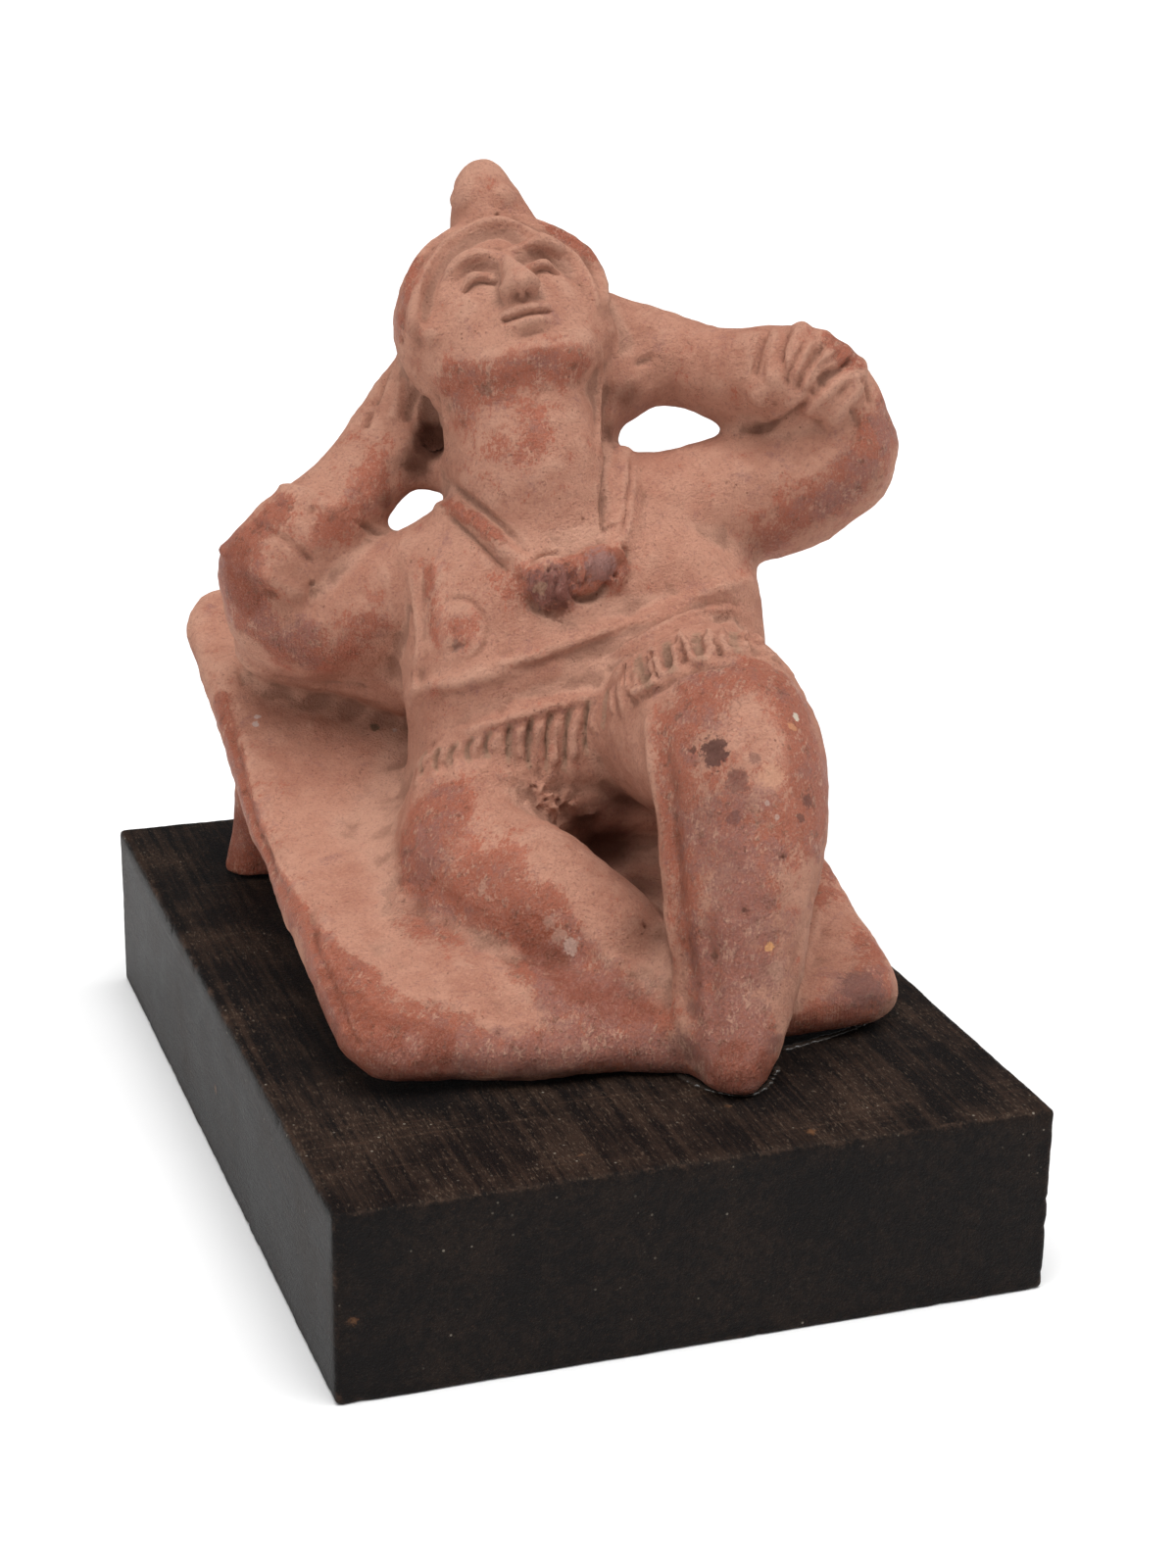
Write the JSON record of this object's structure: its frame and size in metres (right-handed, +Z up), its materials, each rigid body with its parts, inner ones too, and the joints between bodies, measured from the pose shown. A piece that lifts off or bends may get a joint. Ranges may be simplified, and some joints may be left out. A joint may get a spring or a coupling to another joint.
{
  "type": "clay portrait figurine",
  "caption": "Small fired clay figure reclining on a raised bed, hands clasping both elbows behind a horned cap, set on a dark stained wood plinth.",
  "frame": {"origin": "middle of the plinth's underside", "axes": "+Z up, +Y to the back where the bed rises, +X to the viewer's right of someone who faces the figure's feet"},
  "size_m": [0.078, 0.101, 0.0984],
  "materials": {
    "fired_clay": "matte, dusty fired clay with rubbed high spots",
    "stained_wood": "dark stain with a soft sheen, worn at the edges"
  },
  "bodies": {
    "root": {"clay_figurine": "fired_clay", "wood_plinth": "stained_wood"}
  },
  "joints": []
}
